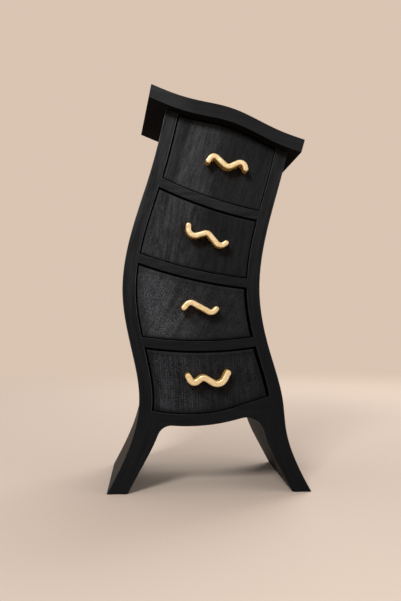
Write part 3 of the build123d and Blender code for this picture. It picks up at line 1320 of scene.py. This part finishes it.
@dataclass
class Drawer:
    """One drawer: a painted front, a bare wooden box, a felt lining and a cast pull."""

    number: int
    pull: Pull
    front_finish: SatinPaint
    lining: Lining = field(init=False)

    def build(self) -> None:
        """Models the pieces that the frame's plain solids stand for."""
        self.lining = Lining(self.number)
        self.pull.build()
        self.lining.build()

    def finish(self, effects: Effects, gold: bpy.types.Material, felt: bpy.types.Material) -> None:
        """Dresses every piece of the drawer.

        Args:
            effects: the shared effects.
            gold: the pulls' material.
            felt: the linings' material.
        """
        dress(bpy.data.objects[f"drawer_{self.number}_front"], self.front_finish.make(effects))
        grains = {
            "left_wall": Grain.ALONG_Y,
            "right_wall": Grain.ALONG_Y,
            "floor": Grain.ALONG_Y,
            "back": Grain.ALONG_X,
        }
        for part, grain in grains.items():
            node = bpy.data.objects[f"drawer_{self.number}_{part}"]
            dress(node, SandedWood(f"sanded_wood_{self.number}_{part}", grain).make(effects))
        self.pull.fit(gold)
        self.lining.fit(felt)
        log.info("drawer %d dressed", self.number)


@dataclass(frozen=True)
class DrawerPlan:
    """What sets one drawer apart from the others; its lengths are in millimetres.

    Attributes:
        width: the thickness of the pull's stroke.
        corners: the corners of the stroke's line, across and up.
        bends: the radius of the line at each corner between its ends.
        lean: how far the front's patch of painted light leans to the right, in degrees.
        rest: the share of painted light that is left at the front's right end.
        shade: the share that is left right at its left edge, which is painted shade.
        paint: what the front's paint has of its own.
        patch: between which shares of the front's width the painted light fades to the right.
        inset: how far inside the left edge the painted light is full again, and least, where the painted
            shade lies.
        drift: how far that fading at the left edge wanders.
    """

    width: float
    corners: tuple[Point, ...]
    bends: tuple[float, ...]
    lean: float
    rest: float
    shade: float
    paint: dict[str, Any]
    patch: Point = (0.15, 0.6)
    inset: Point = (4.0, 1.0)
    drift: float = 0.5

    def make(self, number: int) -> Drawer:
        """Makes the drawer, not built yet.

        Args:
            number: the drawer's number, counted from the top.

        Returns:
            The drawer.
        """
        pull = Pull(
            number=number,
            width=self.width * MM,
            corners=tuple((across * MM, rise * MM) for across, rise in self.corners),
            bends=tuple(radius * MM for radius in self.bends),
        )
        painted_lights = self._painted_lights(number)
        paint = SatinPaint(f"paint_front_{number}", Grain.ALONG_Z, painted_lights=painted_lights, **self.paint)
        return Drawer(number, pull, paint)

    def _painted_lights(self, number: int) -> tuple[PaintedLight, PaintedLight]:
        """Where painted light lies on the front: most near its left edge, less to the right, with painted
        shade right at that edge.

        Args:
            number: the drawer's number.

        Returns:
            The painted light that fades to the right, and the painted shade at the left edge.
        """
        low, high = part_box(f"drawer_{number}_front")
        slope = math.tan(math.radians(self.lean))
        edge = low.x - slope * (low.z if slope > 0.0 else high.z)
        across = high.x - low.x - abs(slope) * (high.z - low.z)
        most, least = (edge + share * across for share in self.patch)
        full, shaded = (edge + inset * MM for inset in self.inset)
        drift = self.drift * MM
        # Painted light fading to the right, then painted shade at the left edge.
        return (
            PaintedLight(axis=0, most=most, least=least, rest=self.rest, lean=self.lean),
            PaintedLight(axis=0, most=full, least=shaded, rest=self.shade, drift=drift, lean=self.lean),
        )


# Each paint's rim and margin set its painted highlight and painted shade; a plan's rest and shade set its
# painted light.
DRAWER_PLANS = (
    DrawerPlan(
        width=2.6,
        corners=((-6.0, -0.4), (-3.6, 3.0), (3.5, -3.7), (11.3, 0.0), (12.4, -4.3)),
        bends=(2.2, 2.7, 2.6),
        lean=16.0,
        rest=0.22,
        shade=0.35,
        paint={
            "light": (0.082, 0.083, 0.088),
            "edge": (0.070, 0.071, 0.073),
            "contrast": 0.75,
            "lean": 17.0,
            "stroke_length": 8.0,
            "speckle": 0.6,
            "rim": 0.8,
            "margin": 0.05,
        },
    ),
    DrawerPlan(
        width=2.6,
        corners=((-5.1, 5.0), (-5.1, -1.2), (4.2, 1.6), (10.3, -5.7), (13.3, -3.6)),
        bends=(3.3, 2.4, 2.8),
        lean=16.0,
        rest=0.22,
        shade=0.85,
        paint={
            "light": (0.062, 0.063, 0.068),
            "contrast": 0.9,
            "lean": 8.0,
            "stroke_length": 8.0,
            "speckle": 0.6,
            "rim": 0.3,
            "margin": 0.1,
        },
    ),
    DrawerPlan(
        width=2.7,
        corners=((-3.2, 0.2), (-0.5, 3.5), (10.5, -2.6), (12.6, -0.4)),
        bends=(2.7, 2.5),
        lean=-6.0,
        rest=0.27,
        shade=0.75,
        paint={
            "light": (0.124, 0.125, 0.137),
            "contrast": 0.85,
            "lean": 28.0,
            "streaks": 0.4,
            "speckle": 0.95,
            "grain_fineness": 2300.0,
            "grain_length": 1.7,
            "weave": 0.2,
            "rim": 0.1,
            "margin": 0.45,
        },
    ),
    DrawerPlan(
        width=3.0,
        corners=((-8.7, 2.4), (-6.5, -2.0), (-1.4, 2.1), (7.2, -3.1), (10.7, 4.0)),
        bends=(2.4, 2.7, 4.1),
        lean=-8.0,
        rest=0.42,
        shade=0.6,
        paint={
            "light": (0.067, 0.068, 0.077),
            "contrast": 1.0,
            "lean": -4.0,
            "streaks": 0.7,
            "stroke_length": 9.0,
            "speckle": 0.7,
            "weave": 0.6,
            "rim": 0.05,
            "margin": 0.75,
        },
    ),
)


@dataclass
class Case:
    """The painted case: two swaying side panels, level boards, a back panel and a wavy top on pins.

    Attributes:
        sway_steps: into how many equal heights a side panel's outer edge is divided.
        sway_ends: the lowest and highest share of the panel's height that is read.
        painted_lights: painted light on the panels and boards, paler towards the top and towards the left.
        light: the colour of their marks.
        side_wear_and_highlight: the colour of the panels' scuffed edges with their painted highlight.
        board_wear_and_highlight: the colour of the boards' scuffed edges with their painted highlight.
    """

    sway_steps: int = 12
    sway_ends: Point = (0.002, 0.97)
    painted_lights: tuple[PaintedLight, ...] = (
        # Painted light: paler towards the top, and towards the left.
        PaintedLight(axis=2, most=200.0 * MM, least=85.0 * MM, rest=0.16),
        PaintedLight(axis=0, most=-25.0 * MM, least=35.0 * MM, rest=0.6),
    )
    light: Colour = (0.0510, 0.0520, 0.0550)
    side_wear_and_highlight: Colour = (0.160, 0.162, 0.168)
    board_wear_and_highlight: Colour = (0.075, 0.076, 0.079)

    def finish(self, effects: Effects) -> None:
        """Dresses every piece of the case.

        Args:
            effects: the shared effects.
        """
        self._paint_frame(effects)
        dress(bpy.data.objects["top_board"], self._top_paint().make(effects))
        back = SatinPaint("paint_back", Grain.ALONG_Z, light=self.light)
        dress(bpy.data.objects["back_panel"], back.make(effects))
        dress(bpy.data.objects["top_pins"], DrawnSteel("drawn_steel").make(effects))
        log.info("case dressed")

    def _paint_frame(self, effects: Effects) -> None:
        """Paints the side panels, the dividers and the bottom board, which all meet in one front.

        Args:
            effects: the shared effects.
        """
        shared = {"light": self.light, "wear": WearAndHighlight.CUT_EDGES, "painted_lights": self.painted_lights, "contrast": 0.9}
        for side, outermost in (("left_side", min), ("right_side", max)):
            sway = self._outer_edge(side, outermost)
            paint = SatinPaint(f"paint_{side}", Grain.ALONG_Z, edge=self.side_wear_and_highlight, sway=sway, **shared)
            dress(bpy.data.objects[side], paint.make(effects))
        boards = SatinPaint("paint_boards", Grain.ALONG_X, edge=self.board_wear_and_highlight, **shared).make(effects)
        for name in ("bottom_board", "divider_1", "divider_2", "divider_3"):
            dress(bpy.data.objects[name], boards)

    @staticmethod
    def _top_paint() -> SatinPaint:
        """The top's own paint, duller and more even than the rest."""
        return SatinPaint(
            "paint_top",
            Grain.ALONG_X,
            dark=(0.0055, 0.0055, 0.0058),
            light=(0.0420, 0.0426, 0.0440),
            edge=(0.065, 0.066, 0.067),
            contrast=0.4,
            lean=12.0,
            specular=0.03,
            smooth=0.80,
            rough=0.95,
            # Painted light: paler towards the left end of the top.
            painted_lights=(PaintedLight(axis=0, most=-19.0 * MM, least=-10.0 * MM, rest=0.52, drift=3.0 * MM),),
        )

    def _outer_edge(self, side: str, outermost: Callable[[Sequence[float]], float]) -> tuple[Point, ...]:
        """The outer edge of a side panel, read from the frame at even heights.

        Args:
            side: the panel's node.
            outermost: min for the left panel and max for the right one.

        Returns:
            Height and place across, in metres, from the floor up.
        """
        mesh = bpy.data.objects[side].data
        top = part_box(side)[1].z
        lowest, highest = self.sway_ends
        points = []
        for step in range(self.sway_steps + 1):
            height = top * min(max(step / self.sway_steps, lowest), highest)
            reaches = []
            for edge in mesh.edges:
                low, high = sorted((mesh.vertices[index].co for index in edge.vertices), key=lambda co: co.z)
                if low.z <= height < high.z:
                    reaches.append(low.lerp(high, (height - low.z) / (high.z - low.z)).x)
            points.append((height, outermost(reaches)))
        return tuple(points)


@dataclass(frozen=True)
class Lamp:
    """A square soft lamp."""

    name: str
    place: Place
    size: float
    power: float

    def hang(self, aim: Place) -> None:
        """Hangs the lamp so that it shines at a place.

        Args:
            aim: the place.
        """
        data = bpy.data.lights.new(f"lamp_{self.name}", "AREA")
        data.shape = "SQUARE"
        data.size = self.size
        data.energy = self.power
        lamp = bpy.data.objects.new(f"lamp_{self.name}", data)
        lamp.location = self.place
        lamp.rotation_euler = (Vector(aim) - Vector(self.place)).to_track_quat("-Z", "Y").to_euler()
        bpy.context.scene.collection.objects.link(lamp)


@dataclass
class Studio:
    """A pale seamless floor, soft lamps and the camera.

    Attributes:
        floor_drop: how far the floor lies under the feet, so that the two don't flicker.
        near_floor: the distance from the middle at which the floor begins to fade.
        far_floor: the distance at which only the backdrop is seen.
        backdrop: the colour seen behind the chest and in its gloss.
        paper: the colour of the floor as it is seen.
        bounce: the colour in which the floor lights the chest.
        ambient: the strength of the even light from all round.
        aim: the place that the lamps shine at.
        lamps: the main lamp high on the left, a weak one on the right, and one behind.
        eye: where the camera stands.
        yaw: how far the camera looks to the right, in degrees.
        pitch: how far it looks up, in degrees.
        focal_pixels: its focal length in pixels of the photograph.
    """

    floor_radius: float = 4.0
    floor_drop: float = 0.05 * MM
    near_floor: float = 0.22
    far_floor: float = 0.9
    backdrop: Colour = (0.70, 0.555, 0.45)
    paper: Colour = (0.83, 0.67, 0.555)
    bounce: Colour = (0.30, 0.235, 0.185)
    ambient: float = 0.36
    aim: Place = (0.0, 0.0, 0.1)
    lamps: tuple[Lamp, ...] = (
        Lamp("main", (-0.24, -0.66, 0.51), size=0.17, power=3.6),
        Lamp("fill", (0.75, -0.45, 0.35), size=0.6, power=0.8),
        Lamp("rear", (0.35, 0.75, 0.6), size=0.7, power=5.0),
    )
    eye: Place = (-28.96 * MM, -421.57 * MM, 88.12 * MM)
    yaw: float = 3.609
    pitch: float = 1.042
    focal_pixels: float = 780.2
    photo_height: int = 601

    def build(self) -> None:
        """Builds the floor, the lamps, the world and the camera."""
        self._lay_floor()
        for lamp in self.lamps:
            lamp.hang(self.aim)
        self._light_world()
        self._stand_camera()
        log.info("studio ready")

    def _lay_floor(self) -> None:
        """Lays the floor, which fades into the backdrop far away."""
        pick_none()
        bpy.ops.mesh.primitive_circle_add(vertices=96, radius=self.floor_radius, fill_type="NGON")
        floor = bpy.context.object
        floor.location.z = -self.floor_drop
        settle(floor, "studio_floor")
        material, graph, shader = new_material("floor_paper")
        place = graph.object_place()
        seen = self._seen(graph)
        tone = graph.spread(graph.noise(place, scale=900.0, detail=3.0), 0.3, 0.7, to=(0.97, 1.0))
        shown = graph.blend(tone, (0.0, 0.0, 0.0), self.paper)
        paper = graph.blend(seen, self.bounce, shown)
        graph.feed(shader, {"Base Color": paper, "Roughness": 0.9, "Specular IOR Level": 0.1})
        distance = graph.add("ShaderNodeVectorMath", {0: place}, operation="LENGTH").outputs["Value"]
        fade = {"Value": distance, "From Min": self.near_floor, "From Max": self.far_floor}
        far = graph.add("ShaderNodeMapRange", fade, interpolation_type="SMOOTHERSTEP").outputs["Result"]
        glow = graph.add("ShaderNodeEmission", {"Color": opaque(self.backdrop)})
        ends = {0: graph.product(far, seen), 1: shader.outputs[0], 2: glow.outputs[0]}
        mixed = graph.add("ShaderNodeMixShader", ends)
        output = next(node for node in graph.tree.nodes if node.type == "OUTPUT_MATERIAL")
        graph.feed(output, {"Surface": mixed.outputs[0]})
        dress(floor, material)

    def _light_world(self) -> None:
        """Sets the even light from all round, and the backdrop that the camera and gloss see."""
        world = bpy.data.worlds.new("studio_world")
        world.use_nodes = True
        world.node_tree.nodes.clear()
        graph = Graph(world.node_tree)
        white = opaque((1.0, 1.0, 1.0))
        light = graph.add("ShaderNodeBackground", {"Color": white, "Strength": self.ambient})
        shown = graph.add("ShaderNodeBackground", {"Color": opaque(self.backdrop), "Strength": 1.0})
        ends = {0: self._seen(graph), 1: light.outputs[0], 2: shown.outputs[0]}
        mixed = graph.add("ShaderNodeMixShader", ends)
        graph.add("ShaderNodeOutputWorld", {"Surface": mixed.outputs[0]})
        bpy.context.scene.world = world

    @staticmethod
    def _seen(graph: Graph) -> Socket:
        """A mask of the rays that show the backdrop: the camera's, and those off gloss or through glass.

        Args:
            graph: the graph of the floor or the world.

        Returns:
            The mask's socket.
        """
        path = graph.add("ShaderNodeLightPath").outputs
        gloss = graph.math("MAXIMUM", path["Is Glossy Ray"], path["Is Transmission Ray"])
        return graph.math("MAXIMUM", path["Is Camera Ray"], gloss)

    def _stand_camera(self) -> None:
        """Stands the camera where the photograph was taken from."""
        data = bpy.data.cameras.new("photo_camera")
        data.lens = data.sensor_width * self.focal_pixels / self.photo_height
        data.clip_start = 0.01
        camera = bpy.data.objects.new("photo_camera", data)
        camera.location = self.eye
        camera.rotation_euler = (math.radians(90.0 + self.pitch), 0.0, math.radians(-self.yaw))
        bpy.context.scene.collection.objects.link(camera)
        bpy.context.scene.camera = camera


def main() -> None:
    """Loads the frame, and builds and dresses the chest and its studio."""
    logging.basicConfig(level=logging.INFO, format="%(message)s")
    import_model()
    bpy.context.scene.view_settings.view_transform = "Standard"
    Studio().build()
    effects = Effects()
    Case().finish(effects)
    gold = CastGold("cast_gold", face=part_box("drawer_1_pull")[0].y).make(effects)
    felt = Felt("dark_felt").make(effects)
    for number, plan in enumerate(DRAWER_PLANS, start=1):
        drawer = plan.make(number)
        drawer.build()
        drawer.finish(effects, gold, felt)
    pick_none()


if __name__ == "__main__":
    main()
